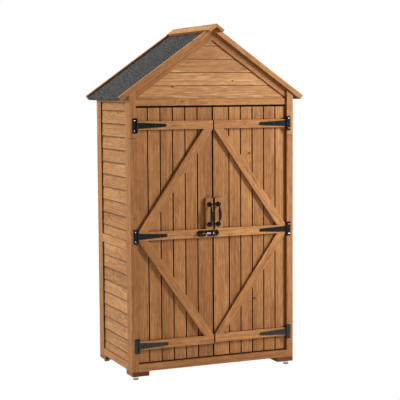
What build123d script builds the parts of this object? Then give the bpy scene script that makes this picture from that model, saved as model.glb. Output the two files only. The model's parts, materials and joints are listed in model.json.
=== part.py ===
from build123d import *
import math
import os

# Narrow garden tool shed of planed fir: two ledged and braced doors under a felted gable roof.
# Width runs along X, depth along Y with the doors towards -Y, height along Z from the level floor.
# The origin is on the floor, at the middle of the width and of the roof's whole length.

# Body
body_width = 803
body_depth = 457
post_width = 30.5
post_depth = 20
post_splice_drop = 140
panel_thickness = 20
rail_height = 38
stile_width = 40
joint_gap = 0.3

# Heights
glide_height = 17
glide_radius = 12.5
glide_inset = 25
foot_height = 21
foot_size = 81
sill_height = 33
opening_height = 1151
header_height = 30
lower_panel_height = 513
side_top_rail_depth = 36

# Cladding
board_cover = 59.2
board_thickness = 10
board_taper = 2.5
board_lap = 6
board_gap = 2
lower_panel_first_cover = 41
upper_panel_first_cover = 47
side_cladding_recess = 6
gable_board_recess = 6
rafter_thickness = 20
rafter_depth = 35

# Floor
joist_width = 30
joist_height = 24
joist_count = 3
floor_board_thickness = 10
floor_board_count = 6
floor_gap = 2

# Roof
roof_slope = 35
roof_half_width = 450
gable_shoulder = 1.5
roof_front_overhang = 8.5
barge_thickness = 18
barge_height = 21.5
barge_proud = 8
back_barge_rise = 2
felt_thickness = 2
felt_fold = 36
roof_board_thickness = 9
cap_width = 43.6
cap_thickness = 12.5
cap_front_overhang = 33

# Doors
door_gap = 5
door_head_gap = 7
meeting_gap = 6
door_board_thickness = 12
door_rail_thickness = 14
left_meeting_board = 75
left_board_cover = 59.5
right_meeting_board = 81
right_board_cover = 58.6
door_groove_width = 5
door_groove_depth = 6
door_rail_height = 38
top_rail_inset = 78.5
left_bottom_rail_inset = 79
right_bottom_rail_inset = 83.5
brace_width = 38
handle_block_width = 36
handle_block_height = 141
handle_block_inset = 2
handle_block_round = 8

# Strap hinges
hinge_plate_width = 14
hinge_plate_height = 66
hinge_thickness = 2.5
strap_reach = 143
strap_root_height = 27
strap_tip_height = 13
knuckle_radius = 4
knuckle_gap = 0.6
pin_radius = 2.2
pin_clearance = 0.1

# Handles
handle_spacing = 94
handle_inset = 17.5
handle_rose_width = 28
handle_rose_height = 20
handle_rose_thickness = 4
handle_reach = 28
handle_grip_width = 11
handle_grip_thickness = 7
handle_grip_chamfer = 2
handle_lift = 66

# Barrel bolt
bolt_plate_length = 80
bolt_plate_height = 27
bolt_plate_thickness = 2
bolt_plate_round = 9
bolt_edge_inset = 1
bolt_nose = 6.5
bolt_radius = 4
bolt_clearance = 0.8
bolt_guide_length = 9
bolt_guide_wall = 2
bolt_hold = 4
bolt_throw = 16
bolt_stop_gap = 5
bolt_knob_radius = 4.5
bolt_knob_reach = 13
keeper_length = 11
keeper_edge_inset = 4

# Heights and faces that follow from these
frame_base = glide_height + foot_height
sill_top = frame_base + sill_height
header_base = sill_top + opening_height
header_top = header_base + header_height
post_splice_height = header_base - post_splice_drop
side_middle_rail_base = sill_top + lower_panel_height
roof_length = roof_front_overhang + body_depth + barge_thickness
front_face = cap_front_overhang + roof_front_overhang - (roof_length + cap_front_overhang) / 2
back_face = front_face + body_depth
roof_front = front_face - roof_front_overhang
roof_back = back_face + barge_thickness
cap_front = roof_front - cap_front_overhang
half_width = body_width / 2
opening_half_width = half_width - post_width
inner_half_width = half_width - panel_thickness
slope_sin = math.sin(math.radians(roof_slope))
slope_cos = math.cos(math.radians(roof_slope))
slope_tan = slope_sin / slope_cos
roof_underside = barge_proud + felt_thickness + roof_board_thickness
rafter_foot = roof_underside + rafter_depth
rafter_rise = opening_half_width * slope_tan + rafter_foot / slope_cos
roof_apex_height = header_top + gable_shoulder + rafter_rise


def roof_height(x, depth):
    """Height at x of the line that lies depth square below the top of the barge boards."""
    return roof_apex_height - abs(x) * slope_tan - depth / slope_cos


def ridge_point(depth, gap=0.0):
    """Point at the ridge's mitre, depth square below the top line."""
    return (gap, roof_height(gap, depth))


def slope_point(along, depth):
    """Point along the right slope from the apex, depth square below the top line."""
    x = along * slope_cos - depth * slope_sin
    return (x, roof_apex_height - along * slope_sin - depth * slope_cos)


slope_length = roof_half_width / slope_cos


def wall_plane(y):
    """Plane of a cross-section at depth y, with X to the right and Z up."""
    return Plane.XZ.offset(-y)


def mirrored(points):
    """The same outline on the other side of the middle."""
    return [(-x, z) for x, z in points]


# A shiplap board seen from its end: the face leans out towards its foot, and the head goes up
# behind the foot of the next board. The lowest board has no rebate and the highest no head.
def shiplap_outline(base, cover, lowest, highest):
    half = board_thickness / 2
    head = base + cover - board_gap
    points = [(0, base), (board_taper, head)]
    if highest:
        points.append((board_thickness, head))
    else:
        tongue = base + cover + board_lap - joint_gap
        points.append((half + joint_gap, head))
        points.append((half + joint_gap, tongue))
        points.append((board_thickness, tongue))
    if lowest:
        points.append((board_thickness, base))
    else:
        points.append((board_thickness, base + board_lap))
        points.append((half, base + board_lap))
        points.append((half, base))
    return points


def board_outlines(low, high, lowest_cover):
    """Outlines of the boards that fill a panel from low to high."""
    outlines = []
    base = low
    cover = lowest_cover
    while base + cover < high - 2 * board_lap:
        outlines.append(shiplap_outline(base, cover, base == low, False))
        base = base + cover
        cover = board_cover
    outlines.append(shiplap_outline(base, high - base + board_gap, base == low, True))
    return outlines


# Posts
def post_outline(side, low, high=None, head_depth=None):
    """A length of post that ends level at high, or is bevelled to fit head_depth below the roof line."""
    outer = half_width
    inner = opening_half_width
    if high is None:
        top_outer = roof_height(outer, head_depth) - joint_gap
        top_inner = roof_height(inner, head_depth) - joint_gap
    else:
        top_outer = high
        top_inner = high
    points = [(inner, low), (outer, low), (outer, top_outer), (inner, top_inner)]
    if side < 0:
        points = mirrored(points)
    return points


def corner_posts(y, head_depth):
    with BuildPart() as posts:
        for side in (-1, 1):
            lower = post_outline(side, frame_base, post_splice_height - joint_gap)
            upper = post_outline(side, post_splice_height, head_depth=head_depth)
            for points in (lower, upper):
                with BuildSketch(wall_plane(y)):
                    Polygon(*points, align=None)
                extrude(amount=-post_depth)
    return posts


front_posts = corner_posts(front_face, barge_height)
back_posts = corner_posts(back_face - post_depth, roof_underside)


# Side panels
panel_front = front_face + post_depth
panel_back = back_face - post_depth
panel_board_front = panel_front + stile_width
panel_board_back = panel_back - stile_width
side_middle_rail_top = side_middle_rail_base + rail_height
side_top_rail_base = roof_height(half_width, roof_underside) - side_top_rail_depth


def side_strip_outline(side, low):
    """Outline of a panel piece whose top is bevelled to the roof."""
    top_outer = roof_height(half_width, roof_underside) - joint_gap
    top_inner = roof_height(inner_half_width, roof_underside) - joint_gap
    points = [(inner_half_width, low), (half_width, low), (half_width, top_outer), (inner_half_width, top_inner)]
    if side < 0:
        points = mirrored(points)
    return points


def side_stiles(side):
    with BuildPart() as stiles:
        for y in (panel_front, panel_board_back):
            with BuildSketch(wall_plane(y)):
                Polygon(*side_strip_outline(side, frame_base), align=None)
            extrude(amount=-stile_width)
    return stiles


def side_rails(side):
    middle = side * (half_width - panel_thickness / 2)
    length = panel_board_back - panel_board_front
    with BuildPart() as rails:
        for low, high in ((frame_base, sill_top), (side_middle_rail_base, side_middle_rail_top)):
            with Locations((middle, (panel_board_front + panel_board_back) / 2, low)):
                Box(panel_thickness, length, high - low, align=(Align.CENTER, Align.CENTER, Align.MIN))
        with BuildSketch(wall_plane(panel_board_front)):
            Polygon(*side_strip_outline(side, side_top_rail_base), align=None)
        extrude(amount=-length)
    return rails


def side_board_panel(side, low, high, lowest_cover):
    outer = half_width - side_cladding_recess
    length = panel_board_back - panel_board_front - 2 * joint_gap
    for outline in board_outlines(low + joint_gap, high - joint_gap, lowest_cover):
        with BuildSketch(wall_plane(panel_board_front + joint_gap)) as section:
            Polygon(*[(side * (outer - depth), z) for depth, z in outline], align=None)
        extrude(section.sketch, amount=-length)


def side_boards(side):
    with BuildPart() as boards:
        side_board_panel(side, sill_top, side_middle_rail_base, lower_panel_first_cover)
        side_board_panel(side, side_middle_rail_top, side_top_rail_base, upper_panel_first_cover)
    return boards


left_side_stiles = side_stiles(-1)
right_side_stiles = side_stiles(1)
left_side_rails = side_rails(-1)
right_side_rails = side_rails(1)
left_side_boards = side_boards(-1)
right_side_boards = side_boards(1)


# Back wall
def cross_rail(y, thickness, low, high):
    with Locations((0, y, low)):
        Box(2 * opening_half_width, thickness, high - low, align=(Align.CENTER, Align.MIN, Align.MIN))


with BuildPart() as back_rails:
    cross_rail(back_face - post_depth, post_depth, frame_base, sill_top)
    cross_rail(back_face - post_depth, post_depth, side_middle_rail_base, side_middle_rail_top)
    cross_rail(back_face - post_depth, post_depth, header_base, header_top)


def wall_boards(face, inward, low, high, lowest_cover, half_length):
    """Horizontal boards whose faces look away from inward, a step of 1 or -1 along Y."""
    for outline in board_outlines(low + joint_gap, high - joint_gap, lowest_cover):
        with BuildSketch(Plane.YZ) as section:
            Polygon(*[(face + inward * depth, z) for depth, z in outline], align=None)
        extrude(section.sketch, amount=half_length, both=True)


with BuildPart() as back_boards:
    back_board_face = back_face - side_cladding_recess
    back_board_half = opening_half_width - joint_gap
    wall_boards(back_board_face, -1, sill_top, side_middle_rail_base, lower_panel_first_cover, back_board_half)
    wall_boards(back_board_face, -1, side_middle_rail_top, header_base, upper_panel_first_cover, back_board_half)


# Front frame
gable_face = roof_front + barge_thickness

with BuildPart() as front_header:
    cross_rail(gable_face, rafter_thickness, header_base, header_top)

with BuildPart() as front_sill:
    cross_rail(front_face, post_depth, frame_base, sill_top)


# Gables
def gable_rafters(y):
    inner_gap = joint_gap / 2
    outer = opening_half_width
    points = [
        ridge_point(roof_underside, inner_gap),
        (outer, roof_height(outer, roof_underside)),
        (outer, roof_height(outer, rafter_foot)),
        ridge_point(rafter_foot, inner_gap),
    ]
    with BuildPart() as rafters:
        for outline in (points, mirrored(points)):
            with BuildSketch(wall_plane(y)):
                Polygon(*outline, align=None)
            extrude(amount=-rafter_thickness)
    return rafters


def gable_boards(face, inward):
    half_length = opening_half_width - joint_gap
    shoulder = roof_height(half_length, rafter_foot) - joint_gap
    peak = roof_height(0, rafter_foot) - joint_gap
    triangle = [
        (-half_length, header_top),
        (half_length, header_top),
        (half_length, shoulder),
        (0, peak),
        (-half_length, shoulder),
    ]
    with BuildPart() as boards:
        wall_boards(face, inward, header_top, peak + board_cover, board_cover, half_length)
        with BuildSketch(wall_plane(face - inward)):
            Polygon(*triangle, align=None)
        extrude(amount=-inward * (board_thickness + 2), mode=Mode.INTERSECT)
    return boards


front_gable_rafters = gable_rafters(gable_face)
back_gable_rafters = gable_rafters(back_face - rafter_thickness)
front_gable_boards = gable_boards(gable_face + gable_board_recess, 1)
back_gable_boards = gable_boards(back_face - gable_board_recess, -1)


# Floor
floor_front = front_face + post_depth
floor_back = back_face - post_depth

with BuildPart() as floor_joists:
    joist_spacing = 2 * inner_half_width / (joist_count + 1)
    for index in range(joist_count):
        x = (index + 1) * joist_spacing - inner_half_width
        with Locations((x, floor_front, frame_base)):
            Box(joist_width, floor_back - floor_front, joist_height, align=(Align.CENTER, Align.MIN, Align.MIN))

with BuildPart() as floor_boards:
    floor_base = frame_base + joist_height
    floor_pitch = (floor_back - floor_front + floor_gap) / floor_board_count
    for index in range(floor_board_count):
        y = floor_front + index * floor_pitch
        with Locations((0, y, floor_base)):
            Box(
                2 * (inner_half_width - joint_gap),
                floor_pitch - floor_gap,
                floor_board_thickness,
                align=(Align.CENTER, Align.MIN, Align.MIN),
            )


# Feet
def corners(inset):
    """The four corners of the body, moved in from its outer faces by inset."""
    x = half_width - inset
    return [(side * x, y) for side in (-1, 1) for y in (front_face + inset, back_face - inset)]


with BuildPart() as foot_blocks:
    for x, y in corners(foot_size / 2):
        with Locations((x, y, glide_height)):
            Box(foot_size, foot_size, foot_height, align=(Align.CENTER, Align.CENTER, Align.MIN))

with BuildPart() as foot_glides:
    for x, y in corners(glide_inset):
        with Locations((x, y, 0)):
            Cylinder(glide_radius, glide_height, align=(Align.CENTER, Align.CENTER, Align.MIN))


# Roof: boards, and felt that is folded round their eaves and nailed underneath
def roof_piece(side, points, front, back):
    """A long piece of the roof with one outline from front to back."""
    outline = points if side > 0 else mirrored(points)
    with BuildPart() as piece:
        with BuildSketch(wall_plane(front)):
            Polygon(*outline, align=None)
        extrude(amount=front - back)
    return piece


felt_top = barge_proud
board_top = felt_top + felt_thickness
panel_end = slope_length - felt_thickness
felt_under = roof_underside + felt_thickness
ridge_gap = joint_gap / 2

roof_board_outline = [
    ridge_point(board_top, ridge_gap),
    slope_point(panel_end, board_top),
    slope_point(panel_end, roof_underside),
    ridge_point(roof_underside, ridge_gap),
]
felt_outline = [
    ridge_point(felt_top, ridge_gap),
    slope_point(slope_length, felt_top),
    slope_point(slope_length, felt_under),
    slope_point(slope_length - felt_fold, felt_under),
    slope_point(slope_length - felt_fold, roof_underside),
    slope_point(panel_end, roof_underside),
    slope_point(panel_end, board_top),
    ridge_point(board_top, ridge_gap),
]
cap_outline = [
    ridge_point(felt_top - joint_gap - cap_thickness, ridge_gap),
    slope_point(cap_width, felt_top - joint_gap - cap_thickness),
    slope_point(cap_width, felt_top - joint_gap),
    ridge_point(felt_top - joint_gap, ridge_gap),
]
covering_front = roof_front + barge_thickness
covering_back = roof_back - barge_thickness
left_roof_panel = roof_piece(-1, roof_board_outline, covering_front, covering_back)
right_roof_panel = roof_piece(1, roof_board_outline, covering_front, covering_back)
left_roof_felt = roof_piece(-1, felt_outline, covering_front, covering_back)
right_roof_felt = roof_piece(1, felt_outline, covering_front, covering_back)


def barge_boards(front, rise):
    """A pair of barge boards, notched at the ridge for the cap that passes over them."""
    notch = cap_width + 2 * joint_gap
    end = slope_length - rise * slope_tan
    outline = [
        ridge_point(barge_proud, ridge_gap),
        slope_point(notch, barge_proud),
        slope_point(notch, -rise),
        slope_point(end, -rise),
        slope_point(end, barge_height - rise),
        ridge_point(barge_height - rise, ridge_gap),
    ]
    with BuildPart() as boards:
        for points in (outline, mirrored(outline)):
            with BuildSketch(wall_plane(front)):
                Polygon(*points, align=None)
            extrude(amount=-barge_thickness)
    return boards


front_barge_boards = barge_boards(roof_front, 0)
back_barge_boards = barge_boards(back_face, back_barge_rise)

with BuildPart() as ridge_cap:
    for points in (cap_outline, mirrored(cap_outline)):
        with BuildSketch(wall_plane(cap_front)):
            Polygon(*points, align=None)
        extrude(amount=cap_front - roof_back)


# Doors
door_bottom = sill_top + door_gap
door_top = header_base - door_head_gap
hinge_edge = opening_half_width - door_gap
meeting_edge = meeting_gap / 2
leaf_width = hinge_edge - meeting_edge
door_board_front = front_face + door_rail_thickness
door_board_back = door_board_front + door_board_thickness
top_rail_middle = door_top - top_rail_inset
middle_rail_middle = (door_bottom + door_top) / 2
half_rail = door_rail_height / 2


def door_rail_middles(side):
    """Heights of a leaf's three rails, from the lowest to the highest."""
    bottom_inset = left_bottom_rail_inset if side < 0 else right_bottom_rail_inset
    return (door_bottom + bottom_inset, middle_rail_middle, top_rail_middle)


def door_board_edges(side):
    """Where the joints between the boards of a leaf lie, from the meeting edge outwards."""
    first = left_meeting_board if side < 0 else right_meeting_board
    cover = left_board_cover if side < 0 else right_board_cover
    edges = [meeting_edge, first]
    while edges[-1] + cover < hinge_edge:
        edges.append(edges[-1] + cover)
    edges.append(hinge_edge)
    return edges


def door_board_outline(near, far):
    """A board seen from above, with half of the sunk groove along each joint."""
    groove_floor = door_board_front + door_groove_depth
    near_groove = 0 if near == meeting_edge else door_groove_width / 2
    far_groove = 0 if far == hinge_edge else door_groove_width / 2
    points = [(near + near_groove, door_board_front), (far - far_groove, door_board_front)]
    if far_groove:
        points.append((far - far_groove, groove_floor))
        points.append((far - joint_gap / 2, groove_floor))
        points.append((far - joint_gap / 2, door_board_back))
    else:
        points.append((far, door_board_back))
    if near_groove:
        points.append((near + joint_gap / 2, door_board_back))
        points.append((near + joint_gap / 2, groove_floor))
        points.append((near + near_groove, groove_floor))
    else:
        points.append((near, door_board_back))
    return points


def door_boards(side):
    edges = door_board_edges(side)
    with BuildPart() as boards:
        for near, far in zip(edges, edges[1:]):
            with BuildSketch(Plane.XY.offset(door_bottom)):
                Polygon(*[(side * x, y) for x, y in door_board_outline(near, far)], align=None)
            extrude(amount=door_top - door_bottom)
    return boards


def door_rails(side):
    with BuildPart() as rails:
        for middle in door_rail_middles(side):
            with Locations((side * (meeting_edge + hinge_edge) / 2, front_face, middle)):
                Box(leaf_width, door_rail_thickness, door_rail_height, align=(Align.CENTER, Align.MIN, Align.CENTER))
    return rails


def brace_outline(side, hinge_level, meeting_level):
    """A brace from the hinge edge at one rail to the meeting edge at the next."""
    rise = abs(meeting_level - hinge_level)
    diagonal = math.hypot(leaf_width, rise)
    angle = math.atan2(rise, leaf_width) + math.asin(brace_width / diagonal)
    run = rise / math.tan(angle)
    points = [
        (hinge_edge, hinge_level),
        (hinge_edge - run, meeting_level),
        (meeting_edge, meeting_level),
        (meeting_edge + run, hinge_level),
    ]
    return [(side * x, z) for x, z in points]


def door_braces(side):
    bottom, middle, top = door_rail_middles(side)
    with BuildPart() as braces:
        upper = (middle + half_rail, top - half_rail)
        lower = (middle - half_rail, bottom + half_rail)
        for hinge_level, meeting_level in (upper, lower):
            with BuildSketch(wall_plane(front_face)):
                Polygon(*brace_outline(side, hinge_level, meeting_level), align=None)
            extrude(amount=-door_rail_thickness)
    return braces


handle_block_middle = meeting_edge + handle_block_inset + handle_block_width / 2
handle_middle_x = meeting_edge + handle_inset
handle_block_base = middle_rail_middle + half_rail
handle_middle = handle_block_base + handle_lift


def handle_block(side):
    """The wooden pad under a pull handle, with its two upper corners rounded."""
    with BuildPart() as block:
        with Locations((side * handle_block_middle, front_face, handle_block_base)):
            Box(
                handle_block_width,
                door_rail_thickness,
                handle_block_height,
                align=(Align.CENTER, Align.MIN, Align.MIN),
            )
        fillet(block.edges().filter_by(Axis.Y).group_by(Axis.Z)[-1], handle_block_round)
    return block


left_door_boards = door_boards(-1)
right_door_boards = door_boards(1)
left_door_rails = door_rails(-1)
right_door_rails = door_rails(1)
left_door_braces = door_braces(-1)
right_door_braces = door_braces(1)
left_handle_block = handle_block(-1)
right_handle_block = handle_block(1)


# Pull handles: a bowed grip between two oval roses
def pull_handle(side):
    x = side * handle_middle_x
    seat = handle_rose_thickness / 2
    with BuildPart() as handle:
        for end in (-1, 1):
            z = handle_middle + end * handle_spacing / 2
            with BuildSketch(Plane(origin=(x, front_face, z), x_dir=(1, 0, 0), z_dir=(0, -1, 0))):
                Ellipse(handle_rose_width / 2, handle_rose_height / 2)
            extrude(amount=handle_rose_thickness)
        low = handle_middle - handle_spacing / 2
        high = handle_middle + handle_spacing / 2
        with BuildLine(Plane.YZ.offset(x)) as bow:
            ThreePointArc(
                (front_face - seat, low),
                (front_face - handle_reach + handle_grip_thickness / 2, handle_middle),
                (front_face - seat, high),
            )
        start = bow.line @ 0
        with BuildSketch(Plane(origin=start, x_dir=(1, 0, 0), z_dir=bow.line % 0)) as section:
            Rectangle(handle_grip_width, handle_grip_thickness)
            chamfer(section.vertices(), handle_grip_chamfer)
        sweep(path=bow.line)
        split(bisect_by=wall_plane(front_face), keep=Keep.TOP)
    return handle


left_handle = pull_handle(-1)
right_handle = pull_handle(1)


# Strap hinges: the plate with two end knuckles and the pin stays on the post, and the strap with
# the middle knuckle turns with the door. The barrel is as long as the plate is high.
pin_x = opening_half_width - door_gap / 2
pin_y = front_face - knuckle_radius
leaf_start = knuckle_radius + 2 * knuckle_gap
knuckle_length = strap_root_height
barrel_half = hinge_plate_height / 2
end_knuckle_length = barrel_half - knuckle_length / 2 - knuckle_gap


def hinge_tongue(side, direction, z, height):
    """The flat that joins a knuckle to its leaf, on the post side or the door side of the pin."""
    with Locations((side * (pin_x + direction * leaf_start / 2), front_face, z)):
        Box(leaf_start, hinge_thickness, height, align=(Align.CENTER, Align.MAX, Align.CENTER))
    with Locations((side * pin_x, pin_y, z)):
        Cylinder(knuckle_radius, height)


with BuildPart() as hinge_plates:
    for side in (-1, 1):
        for z in door_rail_middles(side):
            plate_middle = pin_x + leaf_start + hinge_plate_width / 2
            with Locations((side * plate_middle, front_face, z)):
                Box(
                    hinge_plate_width,
                    hinge_thickness,
                    hinge_plate_height,
                    align=(Align.CENTER, Align.MAX, Align.CENTER),
                )
            for end in (-1, 1):
                end_middle = z + end * (barrel_half - end_knuckle_length / 2)
                hinge_tongue(side, 1, end_middle, end_knuckle_length)
            with Locations((side * pin_x, pin_y, z)):
                Cylinder(pin_radius, 2 * barrel_half)


def hinge_straps(side):
    tip_radius = strap_tip_height / 2
    tip_x = opening_half_width - strap_reach + tip_radius
    root_x = pin_x - leaf_start
    outline = [
        (side * root_x, -strap_root_height / 2),
        (side * root_x, strap_root_height / 2),
        (side * tip_x, tip_radius),
        (side * tip_x, -tip_radius),
    ]
    with BuildPart() as straps:
        for z in door_rail_middles(side):
            with BuildSketch(Plane(origin=(0, front_face, z), x_dir=(1, 0, 0), z_dir=(0, -1, 0))):
                Polygon(*outline, align=None)
                with Locations((side * tip_x, 0)):
                    Circle(tip_radius)
            extrude(amount=hinge_thickness)
            hinge_tongue(side, -1, z, knuckle_length)
            with Locations((side * pin_x, pin_y, z)):
                Cylinder(pin_radius + pin_clearance, 2 * barrel_half, mode=Mode.SUBTRACT)
    return straps


left_hinge_straps = hinge_straps(-1)
right_hinge_straps = hinge_straps(1)


# Barrel bolt
bolt_y = front_face - bolt_plate_thickness - bolt_clearance - bolt_radius
bolt_bore = bolt_radius + bolt_clearance
bolt_z = middle_rail_middle


def bolt_plate(near, length):
    with Locations((near, front_face, bolt_z)):
        Box(length, bolt_plate_thickness, bolt_plate_height, align=(Align.MIN, Align.MAX, Align.CENTER))


def bolt_guide(near, length):
    """A loop over the rod, bent round it and down to the plate."""
    outer = bolt_bore + bolt_guide_wall
    with BuildSketch(Plane.YZ.offset(near)) as loop:
        with Locations((bolt_y, bolt_z)):
            Circle(outer)
        with Locations(((bolt_y + front_face) / 2, bolt_z)):
            Rectangle(front_face - bolt_y, 2 * outer)
        with Locations((bolt_y, bolt_z)):
            Circle(bolt_bore, mode=Mode.SUBTRACT)
    extrude(loop.sketch, amount=length)


bolt_plate_end = -meeting_edge - bolt_edge_inset
bolt_plate_start = bolt_plate_end - bolt_plate_length
rod_tip = -meeting_edge
front_guide_start = bolt_plate_end - bolt_nose - bolt_guide_length
rear_guide_length = bolt_throw + bolt_hold
knob_x = front_guide_start - bolt_stop_gap - bolt_throw - bolt_knob_radius

with BuildPart() as bolt_body:
    bolt_plate(bolt_plate_start, bolt_plate_length)
    fillet(bolt_body.edges().filter_by(Axis.Y).group_by(Axis.X)[0], bolt_plate_round)
    bolt_guide(front_guide_start, bolt_guide_length)
    bolt_guide(bolt_plate_start, rear_guide_length)

with BuildPart() as bolt_rod:
    with BuildSketch(Plane.YZ.offset(bolt_plate_start)):
        with Locations((bolt_y, bolt_z)):
            Circle(bolt_radius)
    extrude(amount=rod_tip - bolt_plate_start)
    chamfer(bolt_rod.edges().filter_by(GeomType.CIRCLE).sort_by(Axis.X)[-1], bolt_radius / 4)
    with BuildSketch(Plane(origin=(knob_x, bolt_y, bolt_z), x_dir=(1, 0, 0), z_dir=(0, -1, -1))):
        Circle(bolt_knob_radius)
    extrude(amount=bolt_knob_reach)

with BuildPart() as bolt_keeper:
    keeper_start = meeting_edge + keeper_edge_inset
    bolt_plate(keeper_start, keeper_length)
    bolt_guide(keeper_start, keeper_length)


pieces = {
    "front_posts": front_posts,
    "back_posts": back_posts,
    "left_side_stiles": left_side_stiles,
    "right_side_stiles": right_side_stiles,
    "left_side_rails": left_side_rails,
    "right_side_rails": right_side_rails,
    "left_side_boards": left_side_boards,
    "right_side_boards": right_side_boards,
    "back_rails": back_rails,
    "back_boards": back_boards,
    "front_header": front_header,
    "front_sill": front_sill,
    "front_gable_rafters": front_gable_rafters,
    "back_gable_rafters": back_gable_rafters,
    "front_gable_boards": front_gable_boards,
    "back_gable_boards": back_gable_boards,
    "floor_joists": floor_joists,
    "floor_boards": floor_boards,
    "foot_blocks": foot_blocks,
    "foot_glides": foot_glides,
    "left_roof_panel": left_roof_panel,
    "right_roof_panel": right_roof_panel,
    "left_roof_felt": left_roof_felt,
    "right_roof_felt": right_roof_felt,
    "front_barge_boards": front_barge_boards,
    "back_barge_boards": back_barge_boards,
    "ridge_cap": ridge_cap,
    "hinge_plates": hinge_plates,
    "left_door_boards": left_door_boards,
    "left_door_rails": left_door_rails,
    "left_door_braces": left_door_braces,
    "left_handle_block": left_handle_block,
    "left_handle": left_handle,
    "left_hinge_straps": left_hinge_straps,
    "bolt_body": bolt_body,
    "bolt_rod": bolt_rod,
    "right_door_boards": right_door_boards,
    "right_door_rails": right_door_rails,
    "right_door_braces": right_door_braces,
    "right_handle_block": right_handle_block,
    "right_handle": right_handle,
    "right_hinge_straps": right_hinge_straps,
    "bolt_keeper": bolt_keeper,
}

os.makedirs("parts", exist_ok=True)
for label, piece in pieces.items():
    piece.part.label = label
    export_step(piece.part, f"parts/{label}.step")
    print(label, len(piece.solids()), "solids")
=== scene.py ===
# %% [markdown]
# # A garden tool shed in stained fir
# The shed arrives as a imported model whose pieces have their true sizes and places. This lesson
# gives them their looks: eased edges, wood grain that follows each board, mineral felt, black iron
# and a soft studio light. The frame is loaded first, because everything else is built around it.
# Its record says which body each piece rides on, so the doors and the bolt can still move.

# %% load the frame
import json
import math
import random

import bmesh
import bpy
from mathutils import Matrix, Vector


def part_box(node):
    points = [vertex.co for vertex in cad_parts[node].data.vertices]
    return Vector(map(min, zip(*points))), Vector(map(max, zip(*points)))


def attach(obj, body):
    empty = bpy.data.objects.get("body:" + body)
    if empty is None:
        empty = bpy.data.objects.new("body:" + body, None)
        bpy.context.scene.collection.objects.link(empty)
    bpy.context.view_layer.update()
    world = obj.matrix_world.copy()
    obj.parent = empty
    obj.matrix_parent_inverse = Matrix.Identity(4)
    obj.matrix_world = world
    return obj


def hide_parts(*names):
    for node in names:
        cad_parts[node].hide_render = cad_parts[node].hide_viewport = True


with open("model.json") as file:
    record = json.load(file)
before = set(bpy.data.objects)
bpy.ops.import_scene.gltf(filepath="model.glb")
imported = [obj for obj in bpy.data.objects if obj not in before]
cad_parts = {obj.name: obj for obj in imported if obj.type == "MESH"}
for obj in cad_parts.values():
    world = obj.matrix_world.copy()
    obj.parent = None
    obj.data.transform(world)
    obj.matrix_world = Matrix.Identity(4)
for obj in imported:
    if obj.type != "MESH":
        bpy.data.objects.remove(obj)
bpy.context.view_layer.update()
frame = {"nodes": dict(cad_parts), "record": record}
nodes = frame["nodes"]
behaviour = frame["record"]["behaviour"]
rides_on = {name: body for body, names in behaviour["bodies"].items() for name in names}

# %% [markdown]
# ## Where the photographer stood
# The shed is seen from its left front corner, at about chest height and from far away, with a long
# lens. The place and the three angles were worked out from corners whose real places are known:
# the door opening, the eaves and the ridge. A long lens is what keeps the posts almost parallel.
# The camera's own axes are put together from the angles, and become the columns of its matrix.

# %% camera
camera_place = (-2.1657, -5.1421, 1.2875)
lens_mm = 107.33
yaw = math.radians(23.059)
pitch = math.radians(-5.229)
roll = math.radians(-0.370)

forward = Vector(
    (math.sin(yaw) * math.cos(pitch), math.cos(yaw) * math.cos(pitch), math.sin(pitch))
)
level = Vector((math.cos(yaw), -math.sin(yaw), 0))
upright = level.cross(forward)
right = level * math.cos(roll) + upright * math.sin(roll)
up = upright * math.cos(roll) - level * math.sin(roll)

camera = bpy.data.objects.new("camera", bpy.data.cameras.new("camera"))
bpy.context.scene.collection.objects.link(camera)
camera.data.sensor_width = 36
camera.data.lens = lens_mm
turned = Matrix((right, up, -forward)).transposed().to_4x4()
camera.matrix_world = Matrix.Translation(camera_place) @ turned
bpy.context.scene.camera = camera
print("camera looks along", [round(a, 3) for a in forward])

# %% [markdown]
# ## A small kit for node materials
# A node material is a little machine: each node does one sum and hands it on. `put` adds a node,
# sets its options and plugs in its inputs, so a whole material reads as a list of steps. The other
# helpers are the few sums that come up again and again: arithmetic, noise, a smooth ramp from one
# range of values to another, and a mix of two colours.

# %% put a node
def put(tree, kind, inputs=None, **options):
    """Adds a node. An input is a number, a colour or another node's output."""
    made = tree.nodes.new(kind)
    for option, value in options.items():
        setattr(made, option, value)
    for key, value in (inputs or {}).items():
        if isinstance(value, bpy.types.NodeSocket):
            tree.links.new(value, made.inputs[key])
        else:
            made.inputs[key].default_value = value
    return made


def new_material(name):
    material = bpy.data.materials.new(name)
    material.use_nodes = True
    return material, material.node_tree, material.node_tree.nodes["Principled BSDF"]


# %% sums, noise and ramps
def calc(tree, operation, first, second=0.0, third=0.0, clamp=False):
    inputs = {0: first, 1: second, 2: third}
    return put(tree, "ShaderNodeMath", inputs, operation=operation, use_clamp=clamp).outputs[0]


def stretch(tree, vector, scale):
    inputs = {0: vector, 1: scale}
    return put(tree, "ShaderNodeVectorMath", inputs, operation="MULTIPLY").outputs[0]


def noise(tree, vector, scale=1.0, detail=2.0, roughness=0.5):
    inputs = {"Vector": vector, "Scale": scale, "Detail": detail, "Roughness": roughness}
    return put(tree, "ShaderNodeTexNoise", inputs).outputs[0]


def remap(tree, value, low, high, to_low=0.0, to_high=1.0, smooth=True):
    inputs = {0: value, 1: low, 2: high, 3: to_low, 4: to_high}
    kind = "SMOOTHSTEP" if smooth else "LINEAR"
    return put(tree, "ShaderNodeMapRange", inputs, interpolation_type=kind).outputs[0]


# %% colours, places and bumps
def blend(tree, factor, first, second, kind="MIX"):
    made = put(tree, "ShaderNodeMix", data_type="RGBA", blend_type=kind)
    factor_in, first_in, second_in = made.inputs[0], made.inputs[6], made.inputs[7]
    for socket, value in ((factor_in, factor), (first_in, first), (second_in, second)):
        if isinstance(value, bpy.types.NodeSocket):
            tree.links.new(value, socket)
        elif socket.type == "RGBA":
            socket.default_value = (*value, 1)
        else:
            socket.default_value = value
    return made.outputs[2]


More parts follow.
